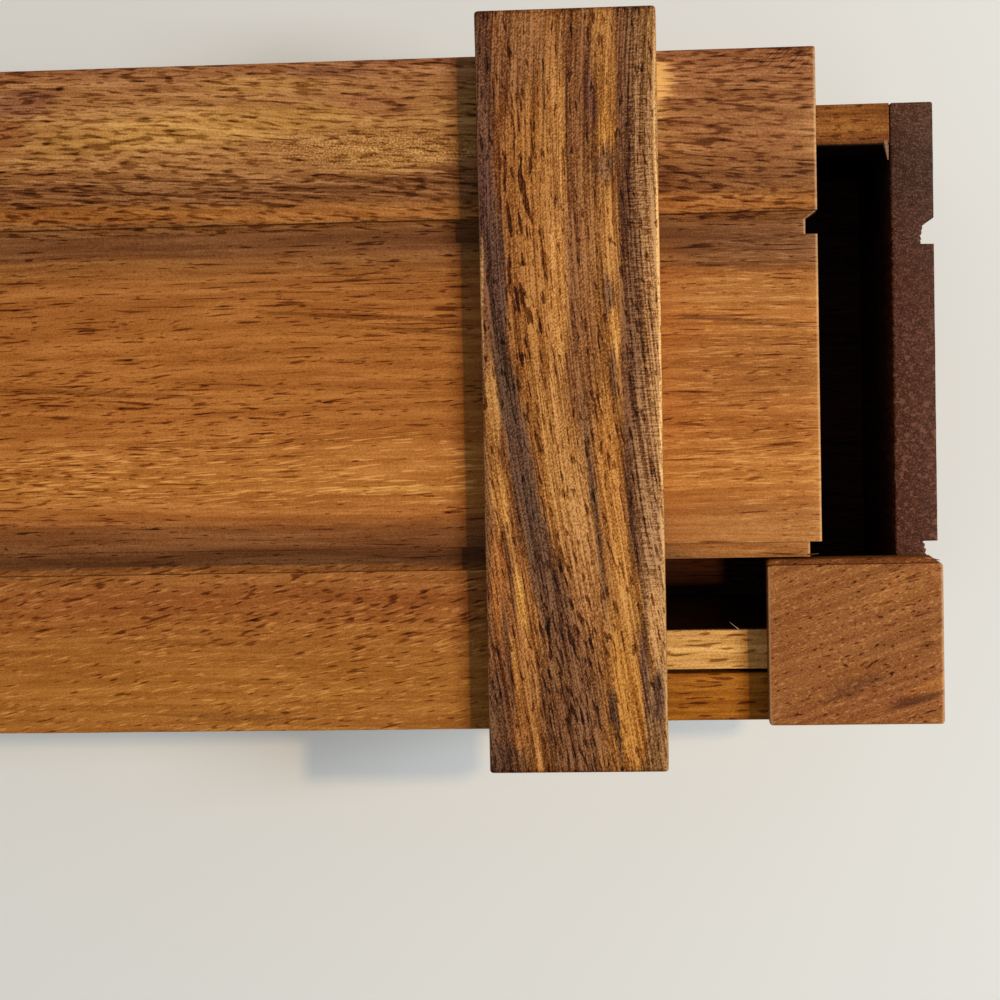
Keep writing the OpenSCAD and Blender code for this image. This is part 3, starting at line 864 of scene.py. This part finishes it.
# Dowels: pale close-grained wood, hidden in the joints
dowel_finish = oiled_hardwood(
    "pale dowel hardwood", seed=12, turn=GRAIN_Z,
    bands=[(-41, "#cfae7c"), (0, "#c9a672"), (41, "#cfae7c")],
    layers=[streaks(0.3), threads(0.2)],
)
# Loose fibre: a pale bare thread of wood, the lightest thing on the box
fibre_finish = oiled_hardwood(
    "pale torn fibre", seed=13, turn=GRAIN_X,
    bands=[(-46, "#b9a48e"), (46, "#b9a48e")],
    layers=[threads(0.2)],
)
# Torn corner of the far wall: bare greyish-brown wood
sliver_finish = oiled_hardwood(
    "brown torn sliver", seed=15, turn=GRAIN_X,
    bands=[(-46, "#80604a"), (46, "#80604a")],
    layers=[threads(0.3)],
)

dressed = {
    far_plank: golden, centre_plank: orange, near_plank: caramel, right_bar: dark_bar,
    left_bar: other_bar, block: red_block, end_panel: end_wood, near_wall: pale_wall,
    far_wall: brown_wall, near_rail: rail_finish, far_rail: rail_finish, wall_fibre: fibre_finish,
    block_splinter: red_block, plank_splinter: orange, wall_splinter: sliver_finish,
}
for piece, finish in dressed.items():
    piece.data.materials.append(finish)
carried_over = {
    "bottom_board": bottom_finish, "left_end_panel": end_wood, "near_runner": runner_finish,
    "far_runner": runner_finish, "corner_dowels": dowel_finish, "block_dowels": dowel_finish,
    "crossbar_dowels": dowel_finish,
}
for node, finish in carried_over.items():
    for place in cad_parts[node].material_slots:
        place.material = finish

# Floor, light and camera
TABLE_HALF = 1.5
TABLE_ROUGH = 0.7
ROOM_LIGHT = 0.365
COOL_WHITE = "#eff6fd"
WARM_WHITE = "#ffd194"

floor_mesh = bpy.data.meshes.new("table")
table_corners = [(TABLE_HALF * x, TABLE_HALF * y, 0) for x, y in [(-1, -1), (1, -1), (1, 1), (-1, 1)]]
floor_mesh.from_pydata(table_corners, [], [(0, 1, 2, 3)])
floor = bpy.data.objects.new("table", floor_mesh)
bpy.context.scene.collection.objects.link(floor)
# Table top: pale matt paint, barely grey-green, that shows soft shadows and no gloss
table = bpy.data.materials.new("pale matt table top")
table.use_nodes = True
table.node_tree.nodes["Principled BSDF"].inputs["Base Color"].default_value = linear("#e3e6e2")
table.node_tree.nodes["Principled BSDF"].inputs["Roughness"].default_value = TABLE_ROUGH
floor_mesh.materials.append(table)

world = bpy.data.worlds.new("soft room light")
bpy.context.scene.world = world
world.use_nodes = True
world.node_tree.nodes["Background"].inputs["Color"].default_value = linear(COOL_WHITE)
world.node_tree.nodes["Background"].inputs["Strength"].default_value = ROOM_LIGHT


def soft_lamp(name, place, aim, size, power, colour):
    """Square lamp at a place, turned to its aim."""
    lamp = bpy.data.lights.new(name, "AREA")
    lamp.size = size
    lamp.energy = power
    lamp.color = linear(colour)[:3]
    lamp_object = bpy.data.objects.new(name, lamp)
    lamp_object.location = place
    lamp_object.rotation_euler = (Vector(aim) - Vector(place)).to_track_quat("-Z", "Y").to_euler()
    bpy.context.scene.collection.objects.link(lamp_object)


soft_lamp("key lamp", place=(0.391, 0.078, 0.8), aim=(0, 0, 0), size=0.025, power=2.07, colour=WARM_WHITE)
soft_lamp("window light", place=(0.67, 0.03, 1.0), aim=(0, 0, 0), size=0.28, power=8.1, colour=COOL_WHITE)

# Place of the eye in millimetres, its turns in degrees and its focal length in pixels of the picture
EYE = (48.05, 0.15, 379.78)
TILT, PAN, ROLL = -2.691, 4.366, -1.202
FOCAL_PX = 2347
PICTURE_PX = 1000
# Width of the camera's sensor in millimetres, and the nearest thing that it sees in metres
SENSOR = 36.0
NEAREST = 0.01

camera_data = bpy.data.cameras.new("camera")
camera_data.sensor_width = SENSOR
camera_data.lens = SENSOR * FOCAL_PX / PICTURE_PX
camera_data.clip_start = NEAREST
camera = bpy.data.objects.new("camera", camera_data)
turned = (Matrix.Rotation(math.radians(ROLL), 4, "Z") @ Matrix.Rotation(math.radians(PAN), 4, "Y")
          @ Matrix.Rotation(math.radians(TILT), 4, "X"))
camera.matrix_world = Matrix.Translation(Vector(EYE) * MM) @ turned
bpy.context.scene.collection.objects.link(camera)
bpy.context.scene.camera = camera
bpy.context.scene.view_settings.view_transform = "Standard"
